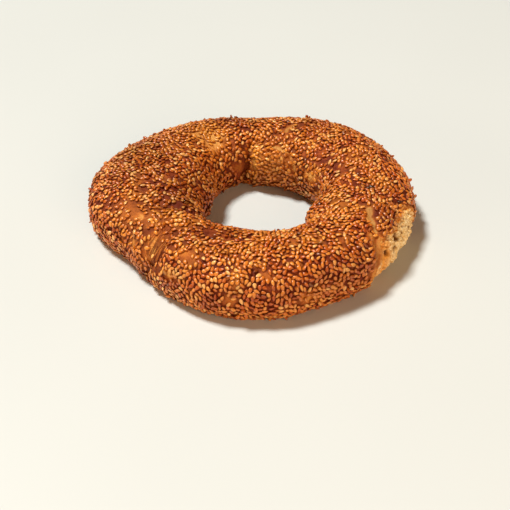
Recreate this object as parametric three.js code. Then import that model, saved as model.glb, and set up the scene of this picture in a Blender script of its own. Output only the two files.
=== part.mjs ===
// A simit: a ring of bread rolled from one fat rope of dough, flat underneath where it was baked.
// Millimetres, +Z up. The ring lies on the plane Z = 0 with its bounding box centred over the origin.
// Azimuths are degrees round the ring from +X. Section angles are degrees round the rope:
// 0 on the outer side, 90 on the crest, 180 on the inner side and 270 under the base.
import * as THREE from "three";

// Driving dimensions of the rope's section
const EQUATOR_HEIGHT = 13; // where the rope is widest
const LOWER_DEPTH = 18; // how far the lower curve would reach under the equator, if the base didn't cut it
const SIDE_FULLNESS = 0.86; // below 1 makes the section squarer than an ellipse

// How the hand-rolled rope varies round the ring: the radius of its inner and outer edge and its crest's height,
// at equal steps of azimuth.
const HAND_ROLLED = [
  { inner: 31, outer: 83.5, crest: 31 }, // 0 degrees
  { inner: 36, outer: 85, crest: 31.5 },
  { inner: 35.5, outer: 87, crest: 31.5 },
  { inner: 38, outer: 86, crest: 31.5 },
  { inner: 41, outer: 80.5, crest: 30.5 }, // 90
  { inner: 41.5, outer: 87, crest: 31 },
  { inner: 35.5, outer: 91.5, crest: 32 },
  { inner: 29.5, outer: 97, crest: 32 },
  { inner: 32, outer: 93, crest: 32 }, // 180
  { inner: 33, outer: 78, crest: 31 },
  { inner: 34, outer: 77, crest: 31 },
  { inner: 31, outer: 79.5, crest: 31.5 },
  { inner: 32, outer: 80, crest: 31.5 }, // 270
  { inner: 34.5, outer: 77, crest: 31.5 },
  { inner: 34, outer: 78, crest: 31.5 },
  { inner: 26.5, outer: 80, crest: 31 },
];

// Grooves where the strands of the rope meet, each between two places given as [azimuth, section angle].
// The dough stands up as a shoulder on one side of a groove: the right as it runs if positive, the left if negative.
const GROOVES = [
  { from: [221, 80], to: [217, -5], depth: 1.8, width: 4, shoulder: 0.9 }, // the join at the front left
  { from: [196, 90], to: [218, 142], depth: 1.5, width: 5, shoulder: 1 }, // the left strand's lap over the join
  { from: [94, 134], to: [101, 215], depth: 2.2, width: 3.5, shoulder: -1.4 }, // the crease inside the back
  { from: [88, 122], to: [63, 142], depth: 0.9, width: 3.4, shoulder: 0.6 }, // the ledge over the tucked end
  { from: [62, 143], to: [53, 176], depth: 0.6, width: 3.4, shoulder: 0.4 }, // the tucked end's other edge
  { from: [70, 60], to: [80, 112], depth: 0.9, width: 6, shoulder: -0.5 }, // the twist over the back
  { from: [267, 28], to: [268, 78], depth: 0.9, width: 3.8, shoulder: -0.7 }, // the dimple at the front
  { from: [335, 80], to: [323, 44], depth: 0.9, width: 3.4, shoulder: -0.6 }, // the fold beside the torn face
  { from: [117, 105], to: [133, 165], depth: 1.2, width: 8, shoulder: 0.4 }, // the hollow at the back left
];
const SHOULDER_OFFSET = 1.8; // from a groove to the top of its shoulder, in widths of the groove
const END_FADE = 8; // distance over which a groove's ends die out

// Soft swellings of the dough, with their reach along the surface.
const SWELLINGS = [
  { azimuth: 77, section: 163, rise: 2, reach: 10 }, // the strand's end, tucked under at the back
  { azimuth: 46, section: 172, rise: 1.2, reach: 11 },
  { azimuth: 165, section: 95, rise: 1, reach: 20 },
  { azimuth: 242, section: 50, rise: 1, reach: 14 },
  { azimuth: 297, section: 70, rise: 1, reach: 15 },
];

// The side where the ring baked against its neighbour and was pulled apart: a flat, torn face.
const TORN_FACE = { azimuth: 335, reach: 79.5, softness: 1.2 };

// How fine the surface is
const STATIONS = 144; // sections round the ring
const SECTION_POINTS = 34; // points round one section

const radians = THREE.MathUtils.degToRad;
const bell = (distance, width) => Math.exp(-((distance / width) ** 2));
const shortTurn = (degrees) => THREE.MathUtils.euclideanModulo(degrees + 180, 360) - 180;

// A smooth closed curve through one measure of the hand-rolled list.
function aroundRing(measure, azimuth) {
  const count = HAND_ROLLED.length;
  const place = (azimuth / 360) * count;
  const index = Math.floor(place);
  const share = place - index;
  const at = (step) => HAND_ROLLED[(index + step + count) % count][measure];
  const [before, here, next, after] = [at(-1), at(0), at(1), at(2)];
  const bend = 2 * before - 5 * here + 4 * next - after;
  const turn = 3 * (here - next) + after - before;
  return here + 0.5 * share * (next - before + share * (bend + share * turn));
}

// How far one groove lifts or sinks a place on the surface.
function grooveLift(groove, azimuth, section, radius, ropeRadius) {
  const overSurface = (turned, rolled) => new THREE.Vector2(radians(turned) * radius, radians(rolled) * ropeRadius);
  const line = overSurface(groove.to[0] - groove.from[0], groove.to[1] - groove.from[1]);
  const length = line.length();
  line.normalize();
  const place = overSurface(shortTurn(azimuth - groove.from[0]), section - groove.from[1]);
  const along = place.dot(line);
  const across = -line.cross(place);
  const pastAnEnd = Math.max(-along, along - length, 0);
  const toShoulder = across * Math.sign(groove.shoulder) - SHOULDER_OFFSET * groove.width;
  const profile = Math.abs(groove.shoulder) * bell(toShoulder, SHOULDER_OFFSET * groove.width)
    - groove.depth * bell(across, groove.width);
  return profile * bell(pastAnEnd, END_FADE);
}

// How far the grooves and swellings lift or sink the surface together.
function relief(azimuth, sectionAngle, radius, ropeRadius) {
  const section = sectionAngle > 270 ? sectionAngle - 360 : sectionAngle;
  let lift = 0;
  for (const groove of GROOVES) lift += grooveLift(groove, azimuth, section, radius, ropeRadius);
  for (const swelling of SWELLINGS) {
    const along = radians(shortTurn(azimuth - swelling.azimuth)) * radius;
    const round = radians(shortTurn(sectionAngle - swelling.section)) * ropeRadius;
    lift += swelling.rise * bell(Math.hypot(along, round), swelling.reach);
  }
  return lift;
}

// One point of the rope's surface.
function ropePoint(azimuth, sectionAngle) {
  const outer = aroundRing("outer", azimuth);
  const inner = aroundRing("inner", azimuth);
  const crest = aroundRing("crest", azimuth) - EQUATOR_HEIGHT;
  const halfWidth = (outer - inner) / 2;
  const across = Math.cos(radians(sectionAngle));
  const up = Math.sin(radians(sectionAngle));
  const fuller = (value) => Math.sign(value) * Math.abs(value) ** SIDE_FULLNESS;
  const halfHeight = up > 0 ? crest : LOWER_DEPTH;
  const radius = (outer + inner) / 2 + halfWidth * fuller(across);
  const height = EQUATOR_HEIGHT + halfHeight * fuller(up);
  const outward = new THREE.Vector2(across / halfWidth, up / halfHeight).normalize();
  const lift = relief(azimuth, sectionAngle, radius, (halfWidth + halfHeight) / 2);
  const turn = radians(azimuth);
  const liftedRadius = radius + lift * outward.x;
  const point = new THREE.Vector3(
    liftedRadius * Math.cos(turn),
    liftedRadius * Math.sin(turn),
    Math.max(height + lift * outward.y, 0),
  );
  return pressedFlat(point);
}

// Presses a point that reaches past the torn face back to it, with a soft edge.
function pressedFlat(point) {
  const face = radians(TORN_FACE.azimuth);
  const normal = new THREE.Vector3(Math.cos(face), Math.sin(face), 0);
  const past = point.dot(normal) - TORN_FACE.reach;
  const soft = TORN_FACE.softness;
  const pressed = past > 0 ? soft * (1 - Math.exp(-past / soft)) : past;
  return point.addScaledVector(normal, pressed - past);
}

// The rope's closed surface: a grid of sections, joined end to end both ways.
function ropeGeometry() {
  const positions = [];
  const triangles = [];
  for (let station = 0; station < STATIONS; station++) {
    for (let step = 0; step < SECTION_POINTS; step++) {
      const point = ropePoint((station * 360) / STATIONS, (step * 360) / SECTION_POINTS);
      positions.push(point.x, point.y, point.z);
      const here = station * SECTION_POINTS;
      const ahead = ((station + 1) % STATIONS) * SECTION_POINTS;
      const next = (step + 1) % SECTION_POINTS;
      triangles.push(here + step, ahead + step, ahead + next, here + step, ahead + next, here + next);
    }
  }
  const geometry = new THREE.BufferGeometry();
  geometry.setAttribute("position", new THREE.Float32BufferAttribute(positions, 3));
  geometry.setIndex(triangles);
  return geometry;
}

// Moves a shape so that its bounding box is centred over the origin.
function centredOverOrigin(geometry) {
  geometry.computeBoundingBox();
  const middle = geometry.boundingBox.getCenter(new THREE.Vector3());
  return geometry.translate(-middle.x, -middle.y, 0);
}

const crust = new THREE.MeshStandardMaterial({ color: 0x9c4a17, roughness: 0.55, metalness: 0 });
const bread = new THREE.Mesh(centredOverOrigin(ropeGeometry()), crust);
bread.name = "bread_ring";

const simit = new THREE.Group();
simit.add(bread);

export default simit;
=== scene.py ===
"""A simit, a ring of bread crusted with toasted sesame, on a plain pale floor, built round its CAD frame.

Metres, +Z up; MM turns millimetres into metres. A place on the ring is an azimuth, in degrees from +X round
the origin, and a section angle, in degrees round the rope: 0 on its outer side, 90 on its crest, 180 on its
inner side and 270 under its base.
"""

import math

import bpy
import numpy as np
from mathutils import Matrix, Vector, noise
from mathutils.bvhtree import BVHTree


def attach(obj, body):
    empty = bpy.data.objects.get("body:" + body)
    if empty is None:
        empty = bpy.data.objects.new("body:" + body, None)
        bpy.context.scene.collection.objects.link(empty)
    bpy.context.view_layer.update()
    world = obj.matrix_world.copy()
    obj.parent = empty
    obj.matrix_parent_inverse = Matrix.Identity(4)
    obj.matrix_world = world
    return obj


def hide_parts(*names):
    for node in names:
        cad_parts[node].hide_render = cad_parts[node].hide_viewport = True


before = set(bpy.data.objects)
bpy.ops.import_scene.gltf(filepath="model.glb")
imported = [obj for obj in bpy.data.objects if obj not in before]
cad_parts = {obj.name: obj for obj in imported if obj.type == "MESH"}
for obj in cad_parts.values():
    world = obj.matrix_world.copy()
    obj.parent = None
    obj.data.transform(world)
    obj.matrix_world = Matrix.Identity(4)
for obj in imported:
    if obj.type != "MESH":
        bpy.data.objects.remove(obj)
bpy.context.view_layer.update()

MM = 0.001

# The rope's section, as its solid was laid out
EQUATOR_HEIGHT = 13 * MM  # where the rope is widest
LOWER_DEPTH = 18 * MM  # how far the rope's lower curve would reach under the equator
SIDE_FULLNESS = 0.86  # below 1 makes the section squarer than an ellipse

# How fine the crust's surface is
STATIONS = 600  # sections round the ring
BASE_ANGLES = (224, 316)  # the section angles between which the base lies flat
TOP_STEPS = 124  # points from the base's outer edge over the crest to its inner edge
BASE_STEPS = 26  # points across the base
SMOOTHING_PASSES = 9

# Dough
BASE_GAP = 0.5 * MM  # the crust under the base stands on its seeds by this much
BASE_ROUGHNESS = 0.15 * MM
RAGGEDNESS = 2.6 * MM  # how far patches of colour stray from their ovals


# ---------------------------------------------------------------- the ring's surface as a grid


def ray_hit(solid, start, direction):
    """Where a ray first meets a solid."""
    place, _, _, _ = solid.ray_cast(Vector(start), Vector(direction))
    return np.array(place)


def ring_grid(node, azimuths, sections):
    """Points of a CAD ring's surface, one row for each azimuth and one column for each section angle."""
    mesh = node.data
    mesh.calc_loop_triangles()
    corners = [tuple(v.co) for v in mesh.vertices]
    solid = BVHTree.FromPolygons(corners, [tuple(t.vertices) for t in mesh.loop_triangles])
    axis = np.array([0, 0, EQUATOR_HEIGHT])
    beyond = 200 * MM
    across = np.cos(np.radians(sections))
    up = np.sin(np.radians(sections))
    across = np.sign(across) * np.abs(across) ** SIDE_FULLNESS
    up = np.sign(up) * np.abs(up) ** SIDE_FULLNESS
    grid = np.zeros((len(azimuths), len(sections), 3))
    for row, azimuth in enumerate(np.radians(azimuths)):
        outward = np.array([math.cos(azimuth), math.sin(azimuth), 0])
        outer = ray_hit(solid, axis + outward * beyond, -outward)
        inner = ray_hit(solid, axis, outward)
        middle = (outer + inner) / 2
        half_width = np.linalg.norm(outer - inner) / 2
        crest = ray_hit(solid, middle + [0, 0, beyond], (0, 0, -1))[2] - EQUATOR_HEIGHT
        for column in range(len(sections)):
            half_height = crest if up[column] > 0 else LOWER_DEPTH
            direction = outward * across[column] * half_width + np.array([0, 0, up[column] * half_height])
            grid[row, column] = ray_hit(solid, middle, direction / np.linalg.norm(direction))
    return grid


def smoothed(grid, passes):
    """The grid with its facets smoothed away, round the ring and round the rope."""
    for axis in (0, 1):
        for _ in range(passes):
            grid = (np.roll(grid, 1, axis) + 2 * grid + np.roll(grid, -1, axis)) / 4
    return grid


def grid_normals(grid):
    """Outward unit normals of a grid that closes on itself both ways."""
    round_ring = np.roll(grid, -1, 0) - np.roll(grid, 1, 0)
    round_rope = np.roll(grid, -1, 1) - np.roll(grid, 1, 1)
    normals = np.cross(round_ring, round_rope)
    return normals / np.linalg.norm(normals, axis=2, keepdims=True)


def grain(points, size, octaves=1, shift=0):
    """Smooth noise from about -1 to 1 at every point, with lumps of that size, plus finer octaves."""
    flat = points.reshape(-1, 3) / size + shift
    if octaves == 1:
        values = [noise.noise(Vector(p)) for p in flat]
    else:
        values = [noise.fractal(Vector(p), 0.8, 2.0, octaves) for p in flat]
    return np.array(values).reshape(points.shape[:2])


def pores(points, size, shift=0):
    """0 in the middle of scattered cells of that size and rising towards 1 at their walls."""
    flat = points.reshape(-1, 3) / size + shift
    values = [noise.voronoi(Vector(p))[0][0] for p in flat]
    return np.clip(np.array(values).reshape(points.shape[:2]), 0, 1)


def smoothstep(low, high, value):
    """0 up to the low value, 1 from the high one, and an eased rise between."""
    share = np.clip((value - low) / (high - low), 0, 1)
    return share * share * (3 - 2 * share)


class Surface:
    """A grid of points on the ring, which measures distances over the crust from places on it."""

    def __init__(self, grid, azimuths, sections):
        self.grid = grid
        self.normals = grid_normals(grid)
        shape = grid.shape[:2]
        self.azimuth = np.broadcast_to(np.asarray(azimuths)[:, None], shape)
        self.section = np.broadcast_to(np.asarray(sections)[None, :], shape)
        self.radius = np.linalg.norm(grid[..., :2], axis=2)
        middle = self.radius.mean(axis=1, keepdims=True)
        height = grid[..., 2] - EQUATOR_HEIGHT
        self.rope_radius = np.maximum(np.hypot(self.radius - middle, height), 14 * MM)
        self.ragged = [RAGGEDNESS * grain(grid, 4.5 * MM, 2, shift) for shift in (83, 97)]

    def offsets(self, place):
        """How far every point lies from a place, along the rope and round it."""
        azimuth, section = place
        along = np.radians((self.azimuth - azimuth + 180) % 360 - 180) * self.radius
        round_rope = np.radians((self.section - section + 180) % 360 - 180) * self.rope_radius
        return along, round_rope

    def spot(self, place, length, width, turn=0):
        """1 at a place, dying out over a ragged oval of that length and width, turned from the rope's run."""
        along, round_rope = np.add(self.offsets(place), self.ragged)
        c, s = math.cos(math.radians(turn)), math.sin(math.radians(turn))
        lengthwise = (along * c + round_rope * s) / length
        crosswise = (round_rope * c - along * s) / width
        return np.exp(-(lengthwise**2 + crosswise**2))

    def to_path(self, path):
        """The distance over the crust from every point to a path through places."""
        nearest = np.full(self.azimuth.shape, np.inf)
        for start, end in zip(path, path[1:]):
            x, y = self.offsets(start)
            run = math.radians(end[0] - start[0]) * self.radius
            rise = math.radians(end[1] - start[1]) * self.rope_radius
            share = np.clip((x * run + y * rise) / (run**2 + rise**2), 0, 1)
            nearest = np.minimum(nearest, np.hypot(x - share * run, y - share * rise))
        return nearest

    def inside(self, outline):
        """How far inside a closed outline of places every point is, and below 0 how far outside."""
        distance = self.to_path([*outline, outline[0]])
        crossings = np.zeros(self.azimuth.shape, int)
        azimuth = (self.azimuth - outline[0][0] + 180) % 360 - 180
        section = (self.section + 90) % 360 - 90
        for (a0, s0), (a1, s1) in zip(outline, [*outline[1:], outline[0]]):
            a0, a1 = a0 - outline[0][0], a1 - outline[0][0]
            if s0 == s1:
                continue
            straddles = (s0 > section) != (s1 > section)
            crossings += straddles & (azimuth < a0 + (section - s0) / (s1 - s0) * (a1 - a0))
        return np.where(crossings % 2 == 1, distance, -distance)


# ---------------------------------------------------------------- what happened to the dough

# Creases where strands meet or the dough folded, and ridges, which have a depth below 0: path, depth and
# width in mm
CREASES = [
    ([(220, -22), (222, 0), (228, 22), (229, 42), (228, 68)], 1.6, 1.5),  # the join at the front left
    ([(199, 86), (204, 98), (213, 113), (222, 128), (229, 146)], 0.9, 2.4),  # the left strand's lap over it
    ([(213, 86), (224, 94), (235, 117)], -0.8, 3.5),  # the ridge under the lap
    ([(89, 133), (89, 144), (91, 160), (93, 180), (95, 204)], 1.4, 1.4),  # the crease inside the back
    ([(84, 121), (80, 126), (72, 134), (59, 138)], 0.5, 1.7),  # the ledge over the tucked end
    ([(58, 140), (56, 147), (51, 155), (47, 172)], 0.6, 1.4),  # the tucked end's other edge
    ([(268, 78), (269, 58), (268, 40), (268, 24)], 0.35, 2.2),  # the dimple at the front
    ([(262, 24), (265, 40), (267, 56)], -0.9, 2.6),  # the ridge beside it
    ([(339, 86), (336, 76), (331, 68), (328, 56), (324, 44), (321, 26), (320, 6)], 0.7, 1.2),  # by the tear
    ([(78, 112), (71, 99), (64, 91), (59, 80)], 0.5, 1.6),  # the twist over the back
]

# Lumps with a distinct edge, given by their outlines
TUCKED_END = [
    (88, 137),
    (80, 130),
    (72, 138),
    (60, 142),
    (55, 152),
    (50, 172),
    (49, 205),
    (93, 205),
    (91, 175),
]
LUMP_ABOVE_TEAR = [
    (338, 82),
    (333, 68),
    (329, 54),
    (326, 42),
    (333, 36),
    (343, 42),
    (348, 52),
    (347, 72),
    (342, 82),
]
LUMPS = [(TUCKED_END, 1.3), (LUMP_ABOVE_TEAR, 0.8)]  # with their rise in mm

# Where the dough wrinkled as it stretched along the join: place, length and width in mm
WRINKLED = ((225, 34), 7, 15)
WRINKLE_SPACING = 2.8 * MM
WRINKLE_DEPTH = 0.5 * MM
FINE_FOLD = (16 * MM, 1.5 * MM, 16 * MM)  # a fine fold's size outwards, along the rope and up

# Stretched, less browned dough, and on the inner back partly painted light: place, length and width in mm,
# turn in degrees and strength
PALE_SPOTS = [
    ((113, 109), 9, 12, -15, 1.0),
    ((119, 93), 8, 6, 0, 0.8),
    ((204, 62), 4.5, 2.2, 12, 0.95),
    ((187, 76), 3.6, 2.6, 0, 0.75),
    ((200, 60), 14, 10, 0, 0.4),
    ((216, 69), 5, 2.6, 25, 0.75),
    ((211, 22), 5, 5, 0, 0.8),
    ((223, 34), 7, 11, 0, 0.75),
    ((235, 17), 6, 3, 0, 0.85),
    ((240, 58), 7, 4, 0, 0.55),
    ((264, 40), 3, 8, -10, 0.8),
    ((272, 62), 3, 2.4, 0, 0.8),
    ((262, 7), 3.6, 3.2, 0, 0.6),
    ((290, -2), 5.5, 3.6, 0, 0.75),
    ((292, 11), 3, 2.2, 0, 0.6),
    ((312, 68), 6, 4, 20, 0.3),
    ((336, 106), 7, 4, 30, 0.6),
    ((324, 48), 2.6, 2.4, 0, 1.0),
    ((325, 35), 5, 3, 0, 0.9),
    # These two on the inner back are partly golden dough and partly painted light, for light that bounces
    # onto it from the floor in the hole
    ((84, 156), 5, 14, 0, 1.0),
    ((70, 160), 14, 14, 0, 0.75),
    ((32, 162), 5, 6, 0, 0.9),
    ((68, 94), 5.5, 1.9, 20, 1.0),
    ((52, 118), 7, 5, 30, 0.4),
    ((150, 60), 9, 6, 0, 0.35),
    ((20, 95), 9, 5, 0, 0.3),
]

# Darker crust, likewise: partly deeper browning and partly painted shade, as on the left strand's slope into
# the hole, which faces away from the key light
BROWNED_AND_SHADED_SPOTS = [
    ((194, 124), 17, 12, 10, 1.0),
    ((165, 140), 20, 12, 0, 0.7),
    ((99, 172), 9, 12, 0, 0.3),
    ((66, 163), 5, 4, 0, 0.6),
    ((336, 54), 8, 7, 0, 0.95),
    ((268, 36), 2.6, 6, 0, 0.25),
    ((100, 70), 20, 12, 0, 0.5),
    ((60, 76), 14, 9, 0, 0.4),
    ((245, 95), 12, 7, 0, 0.35),
    ((275, 17), 8, 4, 0, 0.5),
    ((296, 24), 9, 5, 0, 0.5),
    ((310, 20), 16, 9, 0, 0.45),
    ((350, 70), 12, 9, 0, 0.4),
    ((153, 72), 28, 14, 0, 0.7),
]

# Where seeds fell off or never stuck, likewise
BARE_SPOTS = [
    ((114, 117), 6, 4, -20, 0.5),
    ((204, 62), 4.2, 2, 12, 0.85),
    ((198, 60), 19, 15, 0, 0.24),
    ((211, 22), 4, 3, 0, 0.5),
    ((224, 34), 6, 12, 0, 0.9),
    ((235, 17), 5, 2.4, 0, 0.8),
    ((240, 58), 7, 3.5, 0, 0.4),
    ((262, 7), 2.6, 2.4, 0, 0.75),
    ((290, -2), 4.5, 2.4, 0, 0.85),
    ((312, 68), 4, 2.5, 20, 0.2),
    ((336, 106), 4, 2.5, 30, 0.7),
    ((325, 35), 5, 3, 0, 0.9),
    ((99, 174), 5, 5, 0, 0.85),
    ((32, 162), 3.6, 4, 0, 0.85),
    ((68, 94), 5.5, 1.8, 20, 0.95),
    ((70, 104), 5, 2.4, 10, 0.5),
    ((16, 118), 12, 8, 0, 0.3),
    ((250, 104), 7, 2.5, 10, 0.4),
]

# Where single seeds burnt nearly black, and how far round it
BURNT_SEEDS = [(354, 86), (349, 46)]
BURNT_REACH = 1.7 * MM

# Narrow pale strips of stretched dough, and one of painted light: path, half width in mm, paleness and
# bareness
STRIPS = [
    ([(338, 82), (336, 76), (331, 68), (328, 57), (326, 48)], 1.5, 1.5, 1.0),  # beside the torn side's lump
    ([(323, 50), (322, 38), (321, 24), (320, 10), (318, -6)], 2.2, 0.8, 1.0),  # along the torn patch
    ([(76, 131), (70, 134), (64, 138), (59, 141)], 1.5, 1.3, 0.95),  # over the tucked end
    ([(59, 141), (56, 147), (54, 153), (49, 168)], 1.4, 1.0, 0.8),  # down its far edge
    ([(220, -18), (222, 0), (228, 22), (229, 42)], 1.6, 0.5, 0.8),  # down the join
    # The ridge's paleness is painted light, where the key light catches it
    ([(214, 84), (224, 93), (235, 115)], 3.5, 0.55, 0.1),  # the ridge under the lap
]

# The outline of the torn patch, where the ring was pulled off its neighbour
TEAR = [
    (348, 36),
    (340, 37),
    (334, 29),
    (330, 35),
    (325, 32),
    (323, 16),
    (322, 6),
    (320, -8),
    (318, -22),
    (319, -60),
    (350, -60),
    (354, -24),
    (354, 6),
    (351, 26),
]
TEAR_RAGGEDNESS = 1.3 * MM
CRUST_THICKNESS = 1.6 * MM
LIP_HEIGHT = 0.35 * MM  # how far the crust curls up round the tear

# The slab of torn bread behind the tear
CRUMB_AZIMUTHS = (314, 358)
CRUMB_SECTIONS = (-52, 43)
CRUMB_ROWS = 176
CRUMB_COLUMNS = 150
CRUMB_SMOOTHING_PASSES = 40
CRUMB_THICKNESS = 5.5 * MM
CRUMB_TUCK = 2.6 * MM  # how far its edge dips under the crust
DEEPEST_PIT = 1.35 * MM  # of its pores, without the large holes

# Large holes in the torn bread: place, radius and depth in mm
BREAD_HOLES = [
    ((334, 21), 1.9, 3.6),
    ((332, 2), 1.3, 2.6),
    ((326, 10), 1.2, 2.6),
    ((330, -18), 1.2, 2.4),
    ((345, 5), 1.0, 2.2),
    ((339, 12), 1.1, 2.2),
    ((337, -12), 1.3, 2.4),
]


def painted(surface, spots):
    """A field made of the strongest of several spots."""
    field = np.zeros(surface.azimuth.shape)
    for place, length, width, turn, strength in spots:
        field = np.maximum(field, strength * surface.spot(place, length * MM, width * MM, turn))
    return field


def tear_depth(surface):
    """How far inside the torn patch's ragged edge every point is, and below 0 how far outside."""
    ragged = grain(surface.grid, 4 * MM, 3) * TEAR_RAGGEDNESS
    return surface.inside(TEAR) + ragged


def relief(surface):
    """How far the crust stands off the smooth ring."""
    lift = 0.45 * MM * grain(surface.grid, 17 * MM, shift=3)
    lift += 0.22 * MM * grain(surface.grid, 5.5 * MM, shift=11)
    lift += 0.09 * MM * grain(surface.grid, 1.9 * MM, 2, shift=23)
    waver = 0.5 * MM * grain(surface.grid, 6 * MM, shift=31)
    for path, depth, width in CREASES:
        lift -= depth * MM * np.exp(-(((surface.to_path(path) + waver) / (width * MM)) ** 2))
    for outline, rise in LUMPS:
        lift += rise * MM * smoothstep(-1.0 * MM, 1.6 * MM, surface.inside(outline) + waver)
    place, length, width = WRINKLED
    across = surface.offsets(place)[0] + 1.1 * MM * grain(surface.grid, 5 * MM, 2, shift=71)
    folds = np.abs(np.cos(math.pi * across / WRINKLE_SPACING)) ** 3
    return lift - WRINKLE_DEPTH * folds * surface.spot(place, length * MM, width * MM)


# ---------------------------------------------------------------- meshes


def ring_mesh(name, grid):
    """A mesh of quads over a grid that closes on itself both ways."""
    rows, columns = grid.shape[:2]
    here = np.arange(rows * columns).reshape(rows, columns)
    ahead = np.roll(here, -1, 0)
    quads = np.stack([here, ahead, np.roll(ahead, -1, 1), np.roll(here, -1, 1)], axis=-1)
    mesh = bpy.data.meshes.new(name)
    mesh.from_pydata(grid.reshape(-1, 3).tolist(), [], quads.reshape(-1, 4).tolist())
    mesh.shade_smooth()
    piece = bpy.data.objects.new(name, mesh)
    bpy.context.scene.collection.objects.link(piece)
    return piece


def keep_field(piece, name, values):
    """Stores one number for every point of a piece."""
    attribute = piece.data.attributes.new(name, "FLOAT", "POINT")
    attribute.data.foreach_set("value", np.asarray(values, np.float32).ravel())


def keep_directions(piece, name, values):
    """Stores one direction for every point of a piece."""
    attribute = piece.data.attributes.new(name, "FLOAT_VECTOR", "POINT")
    attribute.data.foreach_set("vector", np.asarray(values, np.float32).ravel())


def make_crust():
    """The whole outside of the ring, with its creases and the sunken bed of the torn patch."""
    azimuths = np.arange(STATIONS) * 360 / STATIONS
    over_top = np.linspace(BASE_ANGLES[1] - 360, BASE_ANGLES[0], TOP_STEPS, endpoint=False)
    under = np.linspace(*BASE_ANGLES, BASE_STEPS, endpoint=False)
    sections = np.concatenate([over_top, under])
    grid = smoothed(ring_grid(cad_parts["bread_ring"], azimuths, sections), SMOOTHING_PASSES)
    surface = Surface(grid, azimuths, sections)
    torn = tear_depth(surface)
    sunken = smoothstep(-0.2 * MM, 1.2 * MM, torn)
    lip = np.exp(-(((torn + 0.8 * MM) / (0.8 * MM)) ** 2))
    lift = relief(surface) * (1 - sunken) + LIP_HEIGHT * lip - 2 * CRUST_THICKNESS * sunken
    grid = grid + surface.normals * lift[..., None]
    base = BASE_GAP + BASE_ROUGHNESS * grain(grid, 4 * MM)
    grid[..., 2] = np.maximum(grid[..., 2], base)
    piece = ring_mesh("crust", grid)
    mark_crust(piece, surface, grid, torn)
    return piece


def mark_crust(piece, surface, grid, torn):
    """Stores the crust's colouring, wrinkles and burnt seeds, how thickly seeds lie, and the rope's run."""
    crease = np.zeros(surface.azimuth.shape)
    for path, depth, width in CREASES:
        strength = np.clip(depth, 0, 1)
        reach = 1.5 * width * MM
        crease = np.maximum(crease, strength * np.exp(-((surface.to_path(path) / reach) ** 2)))
    patches = smoothstep(0.05, 0.7, grain(grid, 9 * MM, 2, shift=41))
    streaks = smoothstep(0.25, 0.7, grain(grid, 6 * MM, 2, shift=57))
    edge_of_tear = np.exp(-((np.minimum(torn + 1 * MM, 0) / (1.6 * MM)) ** 2))
    bare = np.maximum(painted(surface, BARE_SPOTS), 0.3 * streaks)
    bare = np.maximum(bare, 0.35 * crease)
    bare = np.maximum(bare, smoothstep(-1.5 * MM, 0, torn))
    pale = np.maximum(painted(surface, PALE_SPOTS), 0.42 * patches)
    pale = np.maximum(pale, 0.8 * edge_of_tear)
    for path, half_width, paleness, bareness in STRIPS:
        strip = np.exp(-(((surface.to_path(path) + 0.5 * surface.ragged[0]) / (half_width * MM)) ** 2))
        pale = np.maximum(pale, paleness * strip)
        bare = np.maximum(bare, bareness * strip)
    to_burnt = np.min([np.hypot(*surface.offsets(place)) for place in BURNT_SEEDS], axis=0)
    keep_field(piece, "burnt", np.exp(-((to_burnt / BURNT_REACH) ** 2)))
    keep_field(piece, "pale", pale)
    keep_field(piece, "dark", painted(surface, BROWNED_AND_SHADED_SPOTS))
    keep_field(piece, "crease", crease)
    keep_field(piece, "wrinkled", painted(surface, [(*WRINKLED, 0, 1.3)]))
    keep_field(piece, "seeding", np.clip(1 - bare, 0, 1) ** 2)
    keep_directions(piece, "along", np.roll(grid, -1, 0) - np.roll(grid, 1, 0))


def eased_inside(grid, passes):
    """The grid with its facets smoothed away, and each of its borders only along itself."""
    for _ in range(passes):
        grid[1:-1] = (grid[:-2] + 2 * grid[1:-1] + grid[2:]) / 4
        grid[:, 1:-1] = (grid[:, :-2] + 2 * grid[:, 1:-1] + grid[:, 2:]) / 4
    return grid


def slab_mesh(name, outer, inner):
    """A closed mesh between two grids of the same shape, the outer one facing out."""
    rows, columns = outer.shape[:2]
    front = np.arange(rows * columns).reshape(rows, columns)
    corners = [front[:-1, :-1], front[1:, :-1], front[1:, 1:], front[:-1, 1:]]
    sheet = np.stack(corners, axis=-1).reshape(-1, 4)
    rim = np.concatenate([front[0, :-1], front[:-1, -1], front[-1, :0:-1], front[:0:-1, 0]])
    ahead = np.roll(rim, -1)
    walls = np.stack([rim, ahead, ahead + front.size, rim + front.size], axis=-1)
    quads = np.concatenate([sheet, sheet[:, ::-1] + front.size, walls])
    points = np.concatenate([outer.reshape(-1, 3), inner.reshape(-1, 3)])
    mesh = bpy.data.meshes.new(name)
    mesh.from_pydata(points.tolist(), [], quads.tolist())
    mesh.shade_smooth()
    piece = bpy.data.objects.new(name, mesh)
    bpy.context.scene.collection.objects.link(piece)
    return piece


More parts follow.
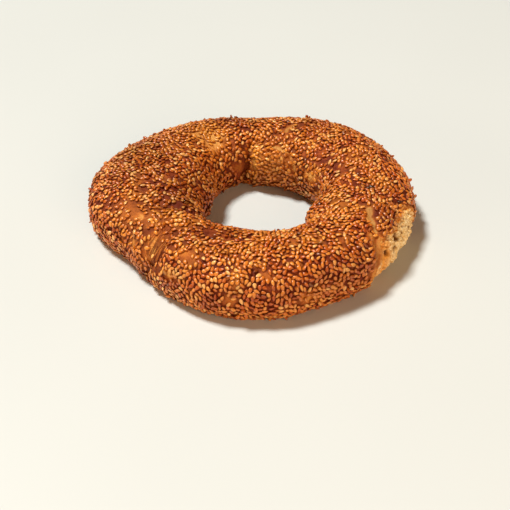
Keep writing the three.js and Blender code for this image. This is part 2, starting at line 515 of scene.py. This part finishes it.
def make_crumb():
    """The torn patch: a slab of pale, rough bread with holes, its edge tucked under the crust."""
    azimuths = np.linspace(*CRUMB_AZIMUTHS, CRUMB_ROWS)
    sections = np.linspace(*CRUMB_SECTIONS, CRUMB_COLUMNS)
    faceted = ring_grid(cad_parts["bread_ring"], azimuths, sections)
    smooth = eased_inside(faceted, CRUMB_SMOOTHING_PASSES)
    surface = Surface(smooth, azimuths, sections)
    normals = np.cross(np.gradient(smooth, axis=0), np.gradient(smooth, axis=1))
    normals /= np.linalg.norm(normals, axis=2, keepdims=True)
    torn = tear_depth(surface)
    rough = 1.5 * MM * grain(smooth, 4.2 * MM, 3, shift=5)
    rough += 0.8 * MM * grain(smooth, 1.5 * MM, 2, shift=15)
    coarse = pores(smooth * [1, 1, 1.4], 2.4 * MM)
    fine = pores(smooth, 1.1 * MM, shift=9)
    pits = 1.0 * MM * (1 - smoothstep(0.1, 0.5, coarse))
    pits += 0.35 * MM * (1 - smoothstep(0.1, 0.55, fine))
    hollow = np.zeros(pits.shape)
    for place, radius, depth in BREAD_HOLES:
        away = np.hypot(*surface.offsets(place)) + 0.3 * surface.ragged[0]
        hole = 1 - smoothstep(0.5 * radius * MM, 1.3 * radius * MM, away)
        hollow = np.maximum(hollow, hole)
        pits = np.maximum(pits, depth * MM * hole)
    tucked = 1 - smoothstep(-1.4 * MM, 0.4 * MM, torn)
    lift = -0.35 * CRUST_THICKNESS + rough - pits - CRUMB_TUCK * tucked
    outer = smooth + normals * lift[..., None]
    inner = smooth - normals * CRUMB_THICKNESS
    for sheet, lowest in ((outer, 0.2 * MM), (inner, 0.4 * MM)):
        sheet[..., 2] = np.maximum(sheet[..., 2], lowest)
    piece = slab_mesh("torn_crumb", outer, inner)
    baked = 1 - smoothstep(0, 2.5 * MM, torn)
    baked = np.maximum(baked, surface.spot((325, 8), 4.6 * MM, 20 * MM))
    for field, values in (("pit", pits / DEEPEST_PIT), ("hollow", hollow), ("baked", baked)):
        keep_field(piece, field, [values, np.zeros(values.shape)])
    return piece


# ---------------------------------------------------------------- node helpers


def add(tree, kind, inputs=None, **settings):
    """Adds a node with its settings, and sets or links its inputs, given by name or by number."""
    made = tree.nodes.new(kind)
    for name, value in settings.items():
        setattr(made, name, value)
    for name, value in (inputs or {}).items():
        if isinstance(value, bpy.types.NodeSocket):
            tree.links.new(value, made.inputs[name])
        else:
            made.inputs[name].default_value = value
    return made


def maths(tree, operation, *values):
    """One number worked out from others."""
    return add(tree, "ShaderNodeMath", dict(enumerate(values)), operation=operation).outputs[0]


# ---------------------------------------------------------------- sesame

SEED_LENGTH = 3.2 * MM
SEED_WIDTH = 2.2 * MM
SEED_THICKNESS = 1.2 * MM
SEED_SPACING = 2.05 * MM  # the least, from middle to middle
SEEDS_TRIED = 1.6e6  # places tried for each square metre
UPRIGHT_SHARE = 0.045  # of the seeds, stood up at random instead of lying
SCATTER_DRAW = 7  # picks one random scatter


def seed_shape(tree, length, width, thickness):
    """One sesame seed: a flattened drop that lies in the XY plane, with its tip towards +X."""
    ball = add(tree, "GeometryNodeMeshUVSphere", {"Segments": 8, "Rings": 5, "Radius": 1.0}).outputs["Mesh"]
    place = add(tree, "GeometryNodeInputPosition").outputs[0]
    parts = add(tree, "ShaderNodeSeparateXYZ", {0: place}).outputs
    taper = maths(tree, "MULTIPLY_ADD", parts["Z"], -0.34, 0.95)
    half_width = maths(tree, "MULTIPLY", taper, maths(tree, "MULTIPLY", width, 0.5))
    half_thickness = maths(tree, "MULTIPLY", taper, maths(tree, "MULTIPLY", thickness, 0.5))
    x = maths(tree, "MULTIPLY", parts["Z"], maths(tree, "MULTIPLY", length, 0.5))
    y = maths(tree, "MULTIPLY", parts["X"], half_width)
    z = maths(tree, "MULTIPLY", parts["Y"], half_thickness)
    # 1 round the seed's edge and 0 on its faces: where its material paints shade
    rim = maths(tree, "SUBTRACT", 1.0, maths(tree, "ABSOLUTE", parts["Y"]))
    marked = add(
        tree,
        "GeometryNodeStoreNamedAttribute",
        {"Geometry": ball, "Name": "rim", "Value": rim},
        data_type="FLOAT",
        domain="POINT",
    ).outputs[0]
    shaped = add(tree, "ShaderNodeCombineXYZ", {0: x, 1: y, 2: z}).outputs[0]
    return add(tree, "GeometryNodeSetPosition", {"Geometry": marked, "Position": shaped}).outputs[0]


def random_number(tree, low, high, seed):
    """A different number for each seed."""
    return add(tree, "FunctionNodeRandomValue", {2: low, 3: high, "Seed": seed}, data_type="FLOAT").outputs[1]


def named(tree, name, data_type="FLOAT"):
    """A field stored on the crust."""
    node = add(tree, "GeometryNodeInputNamedAttribute", {"Name": name}, data_type=data_type)
    return node.outputs["Attribute"]


def seeds_of_kind(tree, share_from, share_to):
    """True for the seeds of one kind, which is a share of all the places."""
    share = random_number(tree, 0.0, 1.0, 101)
    above = add(tree, "FunctionNodeCompare", {0: share, 1: share_from}, operation="GREATER_EQUAL").outputs[0]
    below = add(tree, "FunctionNodeCompare", {0: share, 1: share_to}, operation="LESS_THAN").outputs[0]
    return add(tree, "FunctionNodeBooleanMath", {0: above, 1: below}, operation="AND").outputs[0]


def seed_rotation(tree, normal, upright):
    """Flat on the crust with the tip along the rope, then spun, tilted and, if upright, stood up."""
    flat = add(tree, "FunctionNodeAlignRotationToVector", {"Vector": normal}, axis="Z").outputs[0]
    turned = add(
        tree,
        "FunctionNodeAlignRotationToVector",
        {"Rotation": flat, "Vector": named(tree, "along", "FLOAT_VECTOR")},
        axis="X",
        pivot_axis="Z",
    ).outputs[0]
    stream = add(tree, "ShaderNodeTexNoise", {"Scale": 55.0, "Detail": 1.0}).outputs[0]
    spin = maths(tree, "MULTIPLY_ADD", stream, 12.0, random_number(tree, -0.9, 0.9, 102))
    lying_pitch = random_number(tree, -0.5, 0.1, 106)
    lying_roll = random_number(tree, -0.4, 0.4, 108)
    pitch = maths(tree, "MULTIPLY_ADD", upright, random_number(tree, -1.1, 1.1, 105), lying_pitch)
    roll = maths(tree, "MULTIPLY_ADD", upright, random_number(tree, -1.2, 1.2, 107), lying_roll)
    for angles in ({2: spin}, {1: pitch, 0: roll}):
        euler = add(tree, "ShaderNodeCombineXYZ", angles).outputs[0]
        rotation = add(tree, "FunctionNodeEulerToRotation", {0: euler}).outputs[0]
        both = {0: turned, 1: rotation}
        turned = add(tree, "FunctionNodeRotateRotation", both, rotation_space="LOCAL").outputs[0]
    return turned


def off_the_crust(tree, points, normal, thickness, upright):
    """The points moved to the middles of their seeds: a little off the crust, further for upright ones."""
    lying = maths(tree, "MULTIPLY", thickness, random_number(tree, 0.12, 0.7, 110))
    height = maths(tree, "MULTIPLY_ADD", upright, maths(tree, "MULTIPLY", thickness, 0.45), lying)
    offset = add(tree, "ShaderNodeVectorMath", {0: normal, "Scale": height}, operation="SCALE").outputs[0]
    return add(tree, "GeometryNodeSetPosition", {"Geometry": points, "Offset": offset}).outputs[0]


def scatter_tree():
    """Lays seeds over a crust: takes the crust, gives the seeds of one kind as real mesh."""
    tree = bpy.data.node_groups.new("sesame_scatter", "GeometryNodeTree")
    face = tree.interface
    face.new_socket("Geometry", in_out="INPUT", socket_type="NodeSocketGeometry")
    for measure in ("Length", "Width", "Thickness", "Spacing", "Share From", "Share To", "Upright Share"):
        face.new_socket(measure, in_out="INPUT", socket_type="NodeSocketFloat")
    face.new_socket("Seed", in_out="INPUT", socket_type="NodeSocketInt")
    face.new_socket("Material", in_out="INPUT", socket_type="NodeSocketMaterial")
    face.new_socket("Geometry", in_out="OUTPUT", socket_type="NodeSocketGeometry")
    given = add(tree, "NodeGroupInput").outputs
    scattered = add(
        tree,
        "GeometryNodeDistributePointsOnFaces",
        {
            "Mesh": given["Geometry"],
            "Distance Min": given["Spacing"],
            "Density Max": SEEDS_TRIED,
            "Density Factor": named(tree, "seeding"),
            "Seed": given["Seed"],
        },
        distribute_method="POISSON",
    )
    normal = scattered.outputs["Normal"]
    upright = maths(tree, "LESS_THAN", random_number(tree, 0.0, 1.0, 104), given["Upright Share"])
    chosen = seeds_of_kind(tree, given["Share From"], given["Share To"])
    turned = seed_rotation(tree, normal, upright)
    raised = off_the_crust(tree, scattered.outputs["Points"], normal, given["Thickness"], upright)
    size = add(
        tree,
        "FunctionNodeRandomValue",
        {0: (0.84, 0.82, 0.8), 1: (1.12, 1.14, 1.2), "Seed": 109},
        data_type="FLOAT_VECTOR",
    ).outputs[0]
    shape = seed_shape(tree, given["Length"], given["Width"], given["Thickness"])
    seeds = add(
        tree,
        "GeometryNodeInstanceOnPoints",
        {"Points": raised, "Selection": chosen, "Instance": shape, "Rotation": turned, "Scale": size},
    ).outputs[0]
    toasted = add(
        tree,
        "GeometryNodeStoreNamedAttribute",
        {"Geometry": seeds, "Name": "toast", "Value": random_number(tree, 0.0, 1.0, 111)},
        data_type="FLOAT",
        domain="INSTANCE",
    ).outputs[0]
    real = add(tree, "GeometryNodeRealizeInstances", {0: toasted}).outputs[0]
    smooth = add(tree, "GeometryNodeSetShadeSmooth", {0: real}).outputs[0]
    finish = {"Geometry": smooth, "Material": given["Material"]}
    add(tree, "NodeGroupOutput", {0: add(tree, "GeometryNodeSetMaterial", finish).outputs[0]})
    return tree


def make_seeds(name, crust, tree, material, **sizes):
    """The seeds of one kind over the crust, as one plain mesh pressed flat where the ring rests."""
    piece = bpy.data.objects.new(name, crust.data.copy())
    bpy.context.scene.collection.objects.link(piece)
    modifier = piece.modifiers.new("scatter", "NODES")
    modifier.node_group = tree
    inputs = [item for item in tree.interface.items_tree if item.in_out == "INPUT"]
    sockets = {item.name: item.identifier for item in inputs}
    for socket, value in {**sizes, "Material": material}.items():
        modifier[sockets[socket]] = value
    depsgraph = bpy.context.evaluated_depsgraph_get()
    mesh = bpy.data.meshes.new_from_object(piece.evaluated_get(depsgraph))
    piece.modifiers.clear()
    piece.data = mesh
    mesh.name = name
    places = np.zeros(len(mesh.vertices) * 3, np.float32)
    mesh.vertices.foreach_get("co", places)
    places[2::3] = np.maximum(places[2::3], 0)
    mesh.vertices.foreach_set("co", places)
    mesh.update()
    return piece


# ---------------------------------------------------------------- materials


def new_material(name):
    """An empty node material and its tree."""
    material = bpy.data.materials.new(name)
    material.use_nodes = True
    tree = material.node_tree
    tree.nodes.clear()
    return material, tree


def finish_surface(tree, colour, roughness, normal, **fixed):
    """Ends a material in a Principled surface."""
    given = {"Base Color": colour, "Roughness": roughness, "Normal": normal}
    shader = add(tree, "ShaderNodeBsdfPrincipled", given)
    for name, value in fixed.items():
        shader.inputs[name.replace("_", " ")].default_value = value
    add(tree, "ShaderNodeOutputMaterial", {"Surface": shader.outputs[0]})


def attribute(tree, name):
    """A field stored on the piece."""
    return add(tree, "ShaderNodeAttribute", attribute_name=name).outputs["Fac"]


def speckle(tree, where, scale, detail=3.0, roughness=0.6):
    """Noise from 0 to 1 through the piece."""
    wanted = {"Vector": where, "Scale": scale, "Detail": detail, "Roughness": roughness}
    return add(tree, "ShaderNodeTexNoise", wanted).outputs[0]


def mixed(tree, share, first, second):
    """A colour part way from the first to the second."""
    node = add(tree, "ShaderNodeMix", {0: share, 6: first, 7: second}, data_type="RGBA")
    return node.outputs[2]


def ramp(tree, value, stops):
    """A colour read off a scale of places and colours."""
    node = add(tree, "ShaderNodeValToRGB", {0: value})
    band = node.color_ramp
    while len(band.elements) < len(stops):
        band.elements.new(0.5)
    for element, (place, colour) in zip(band.elements, stops):
        element.position = place
        element.color = colour
    return node.outputs[0]


# The deepest brown of the crust, which also serves as painted shade
DEEP_CRUST_AND_SHADE = (0.13, 0.014, 0.001, 1)
BROWN_CRUST = (0.36, 0.066, 0.009, 1)
GOLDEN_CRUST = (0.62, 0.19, 0.022, 1)
PALE_CRUST = (0.92, 0.50, 0.13, 1)
YELLOW_CRUMB = (0.76, 0.46, 0.11, 1)
CREAM_CRUMB = (0.94, 0.76, 0.44, 1)
BAKED_CRUMB = (0.80, 0.31, 0.015, 1)
# Painted shade in the torn bread's pores and large holes
CRUMB_PORE_SHADE = (0.32, 0.12, 0.010, 1)
CRUMB_HOLE_SHADE = (0.06, 0.022, 0.006, 1)
PALE_SEED = (0.95, 0.38, 0.035, 1)
# The painted shade round each seed's rim
SEED_RIM_SHADE = (0.12, 0.014, 0.001, 1)
BURNT_SEED = (0.025, 0.008, 0.004, 1)
FLOOR_COLOURS = (0.62, 0.635, 0.61, 1), (0.65, 0.665, 0.64, 1)


def folds_in(tree, where):
    """Fine folds that run down the outside of the rope: 1 in a fold and 0 between them."""
    turn = (0, 0, math.radians(WRINKLED[0][0]))
    given = {"Vector": where, "Rotation": turn, "Scale": FINE_FOLD}
    stretched = add(tree, "ShaderNodeMapping", given, vector_type="TEXTURE").outputs[0]
    waves = speckle(tree, stretched, 1.0, 2.0, 0.5)
    away = maths(tree, "ABSOLUTE", maths(tree, "SUBTRACT", waves, 0.5))
    return maths(tree, "SUBTRACT", 1.0, maths(tree, "MINIMUM", maths(tree, "MULTIPLY", away, 10.0), 1.0))


def crust_material():
    """Baked crust: red brown, golden to cream where it stretched, with painted shade darkening it in creases,
    in folds and among the seeds.
    """
    material, tree = new_material("baked_crust")
    where = add(tree, "ShaderNodeTexCoord").outputs["Object"]
    blotch = speckle(tree, where, 95.0)
    fleck = speckle(tree, where, 620.0, 4.0)
    seeding = attribute(tree, "seeding")
    tone = maths(tree, "MULTIPLY_ADD", fleck, 0.45, maths(tree, "MULTIPLY", blotch, 0.75))
    # Painted shade: the crust is darker where seeds lie thick, standing in for the shade between them
    tone = maths(tree, "MULTIPLY_ADD", seeding, -0.3, maths(tree, "ADD", tone, 0.08))
    colour = ramp(tree, tone, [(0.40, DEEP_CRUST_AND_SHADE), (0.62, BROWN_CRUST), (0.84, GOLDEN_CRUST)])
    paleness = maths(tree, "MULTIPLY", attribute(tree, "pale"), maths(tree, "MULTIPLY_ADD", blotch, 0.6, 0.7))
    paleness = maths(tree, "MULTIPLY", paleness, maths(tree, "MULTIPLY_ADD", fleck, 0.8, 0.6))
    colour = mixed(tree, maths(tree, "MINIMUM", paleness, 1.0), colour, GOLDEN_CRUST)
    above = {"Value": paleness, "From Min": 0.6, "From Max": 1.1, "To Max": 0.75}
    palest = add(tree, "ShaderNodeMapRange", above).outputs[0]
    colour = mixed(tree, palest, colour, PALE_CRUST)
    # The dark spots: partly deeper browning, partly painted shade
    colour = mixed(tree, maths(tree, "MULTIPLY", attribute(tree, "dark"), 0.75), colour, DEEP_CRUST_AND_SHADE)
    # Painted shade in the creases
    colour = mixed(tree, maths(tree, "MULTIPLY", attribute(tree, "crease"), 0.6), colour, DEEP_CRUST_AND_SHADE)
    # Painted shade in the valleys of the fine folds
    folds = maths(tree, "MULTIPLY", folds_in(tree, where), attribute(tree, "wrinkled"))
    colour = mixed(tree, maths(tree, "MINIMUM", maths(tree, "MULTIPLY", folds, 0.8), 1.0), colour, DEEP_CRUST_AND_SHADE)
    wrinkles = speckle(tree, where, 520.0, 5.0, 0.75)
    dimples = add(tree, "ShaderNodeTexVoronoi", {"Vector": where, "Scale": 420.0}).outputs["Distance"]
    height = maths(tree, "MULTIPLY_ADD", dimples, 0.5, wrinkles)
    height = maths(tree, "MULTIPLY_ADD", folds, -0.7, height)
    bump = add(tree, "ShaderNodeBump", {"Height": height, "Strength": 0.9, "Distance": 0.9 * MM}).outputs[0]
    roughness = maths(tree, "MULTIPLY_ADD", blotch, 0.2, 0.5)
    finish_surface(tree, colour, roughness, bump, Specular_IOR_Level=0.2)
    return material


def crumb_material():
    """Torn bread: dull cream, golden towards the crust, with painted shade darkening its pores and holes."""
    material, tree = new_material("torn_bread")
    where = add(tree, "ShaderNodeTexCoord").outputs["Object"]
    fibre = speckle(tree, where, 500.0, 4.0)
    colour = ramp(tree, fibre, [(0.3, YELLOW_CRUMB), (0.62, CREAM_CRUMB)])
    for field, strength, tint in (
        ("baked", 0.85, BAKED_CRUMB),
        # Pores and holes are darker the deeper they are: painted shade
        ("pit", 0.9, CRUMB_PORE_SHADE),
        ("hollow", 0.95, CRUMB_HOLE_SHADE),
    ):
        colour = mixed(tree, maths(tree, "MULTIPLY", attribute(tree, field), strength), colour, tint)
    bump = add(tree, "ShaderNodeBump", {"Height": fibre, "Strength": 0.7, "Distance": 0.5 * MM}).outputs[0]
    finish_surface(tree, colour, 0.85, bump)
    return material


def seed_material(name, stops):
    """Toasted sesame, each seed its own shade, with painted shade darkening it round the rim, and nearly
    black if burnt.
    """
    material, tree = new_material(name)
    where = add(tree, "ShaderNodeTexCoord").outputs["Object"]
    colour = ramp(tree, attribute(tree, "toast"), stops)
    # Seeds on pale crust are paler too, which on the inner back is partly painted light
    light = maths(tree, "MULTIPLY", attribute(tree, "pale"), 0.6)
    colour = mixed(tree, maths(tree, "MINIMUM", light, 0.7), colour, PALE_SEED)
    area = speckle(tree, where, 60.0, 2.0)
    shade = maths(tree, "MULTIPLY_ADD", area, 0.7, 0.63)
    # Seeds in the dark spots are darker too, partly as painted shade
    shade = maths(tree, "MULTIPLY", shade, maths(tree, "MULTIPLY_ADD", attribute(tree, "dark"), -0.4, 1.0))
    colour = add(tree, "ShaderNodeVectorMath", {0: colour, "Scale": shade}, operation="SCALE").outputs[0]
    burnt = maths(tree, "MINIMUM", maths(tree, "MULTIPLY", attribute(tree, "burnt"), 1.4), 1.0)
    colour = mixed(tree, burnt, colour, BURNT_SEED)
    # Painted shade round the rim, where the seed meets the crust and its neighbours
    rim = maths(tree, "POWER", attribute(tree, "rim"), 2.0)
    colour = mixed(tree, maths(tree, "MULTIPLY", rim, 0.85), colour, SEED_RIM_SHADE)
    roughness = maths(tree, "MULTIPLY_ADD", rim, 0.35, 0.3)
    skin = speckle(tree, where, 1500.0, 2.0)
    bump = add(tree, "ShaderNodeBump", {"Height": skin, "Strength": 0.25, "Distance": 0.15 * MM}).outputs[0]
    finish_surface(tree, colour, roughness, bump, Specular_IOR_Level=0.6, Specular_Tint=(1, 0.9, 0.78, 1))
    return material


# ---------------------------------------------------------------- stage


def make_floor():
    """A plain pale floor, wide enough to fill the view."""
    reach = 3.0
    mesh = bpy.data.meshes.new("floor")
    corners = [(-reach, -reach, 0), (reach, -reach, 0), (reach, reach, 0), (-reach, reach, 0)]
    mesh.from_pydata(corners, [], [(0, 1, 2, 3)])
    floor = bpy.data.objects.new("floor", mesh)
    bpy.context.scene.collection.objects.link(floor)
    material, tree = new_material("pale_floor")
    where = add(tree, "ShaderNodeTexCoord").outputs["Object"]
    colour = mixed(tree, speckle(tree, where, 6.0, 1.0), *FLOOR_COLOURS)
    shader = add(tree, "ShaderNodeBsdfPrincipled", {"Base Color": colour, "Roughness": 0.5})
    add(tree, "ShaderNodeOutputMaterial", {"Surface": shader.outputs[0]})
    mesh.materials.append(material)


WARM_FILL = (1, 0.70, 0.46)
SOFT_FILL = (1, 0.84, 0.62)
KEY_WHITE = (0.98, 1, 0.97)
ROOM_GLOW = (1, 0.62, 0.38, 1)
ROOM_STRENGTH = 0.10


def area_light(name, azimuth, elevation, distance, size, power, colour):
    """A square soft light, aimed at the origin."""
    data = bpy.data.lights.new(name, "AREA")
    data.size = size
    data.energy = power
    data.color = colour
    light = bpy.data.objects.new(name, data)
    bpy.context.scene.collection.objects.link(light)
    a, e = math.radians(azimuth), math.radians(elevation)
    light.location = distance * Vector((math.cos(a) * math.cos(e), math.sin(a) * math.cos(e), math.sin(e)))
    light.rotation_euler = (-light.location).to_track_quat("-Z", "Y").to_euler()


def make_lights():
    """A high key light behind the ring's left, two warm fills in front and a faint warm room."""
    area_light("key", 155, 67, distance=6, size=1.16, power=458, colour=KEY_WHITE)
    area_light("front_fill", -62, 18, distance=1.8, size=1.6, power=24, colour=WARM_FILL)
    area_light("left_fill", -150, 5, distance=1.6, size=1.0, power=9, colour=SOFT_FILL)
    world = bpy.data.worlds.new("studio")
    world.use_nodes = True
    background = world.node_tree.nodes["Background"].inputs
    background["Color"].default_value = ROOM_GLOW
    background["Strength"].default_value = ROOM_STRENGTH
    bpy.context.scene.world = world


CAMERA_LENS = 77.7
CAMERA_TARGET = Vector((0, 0, 17 * MM))
CAMERA_DISTANCE = 0.6
CAMERA_ELEVATION = 35  # degrees above the target
AIM_BELOW = 2.63  # degrees that the camera looks under the target
AIM_ASIDE = 0.18  # degrees that it looks to the target's right
CAMERA_ROLL = -1.5  # degrees


def make_camera():
    """The camera: in front of the ring, looking down on it."""
    data = bpy.data.cameras.new("camera")
    data.lens = CAMERA_LENS
    data.clip_start, data.clip_end = 0.01, 20
    camera = bpy.data.objects.new("camera", data)
    bpy.context.scene.collection.objects.link(camera)
    elevation = math.radians(CAMERA_ELEVATION)
    camera.location = CAMERA_TARGET + CAMERA_DISTANCE * Vector((0, -math.cos(elevation), math.sin(elevation)))
    tilt = Matrix.Rotation(math.radians(90 - CAMERA_ELEVATION - AIM_BELOW), 4, "X")
    turn = Matrix.Rotation(math.radians(-AIM_ASIDE), 4, "Z")
    roll = Matrix.Rotation(math.radians(CAMERA_ROLL), 4, "Z")
    camera.rotation_euler = (turn @ tilt @ roll).to_euler()
    bpy.context.scene.camera = camera


# ---------------------------------------------------------------- the simit

make_camera()
make_lights()
make_floor()

crust = make_crust()
crust.data.materials.append(crust_material())
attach(crust, "root")
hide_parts("bread_ring")

crumb = make_crumb()
crumb.data.materials.append(crumb_material())
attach(crumb, "root")

# The kinds of sesame: name, the share of the seeds it covers, from and to, and its shades
SEED_KINDS = [
    (
        "sesame_golden",
        0.0,
        0.34,
        [(0.0, (0.70, 0.195, 0.02, 1)), (0.6, (0.80, 0.285, 0.042, 1)), (1.0, (0.90, 0.46, 0.14, 1))],
    ),
    (
        "sesame_toasted",
        0.34,
        0.68,
        [(0.0, (0.56, 0.12, 0.009, 1)), (0.7, (0.66, 0.17, 0.015, 1)), (1.0, (0.74, 0.23, 0.028, 1))],
    ),
    (
        "sesame_brown",
        0.68,
        0.985,
        [(0.0, (0.41, 0.062, 0.003, 1)), (1.0, (0.59, 0.13, 0.009, 1))],
    ),
    (
        "sesame_dark",
        0.985,
        1.01,
        [(0.0, (0.13, 0.022, 0.004, 1)), (1.0, (0.28, 0.055, 0.006, 1))],
    ),
]
scatter = scatter_tree()
for name, share_from, share_to, stops in SEED_KINDS:
    seeds = make_seeds(
        name,
        crust,
        scatter,
        seed_material(name, stops),
        Length=SEED_LENGTH,
        Width=SEED_WIDTH,
        Thickness=SEED_THICKNESS,
        Spacing=SEED_SPACING,
        Seed=SCATTER_DRAW,
        **{"Share From": share_from, "Share To": share_to, "Upright Share": UPRIGHT_SHARE},
    )
    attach(seeds, "root")

bpy.context.scene.view_settings.view_transform = "Standard"
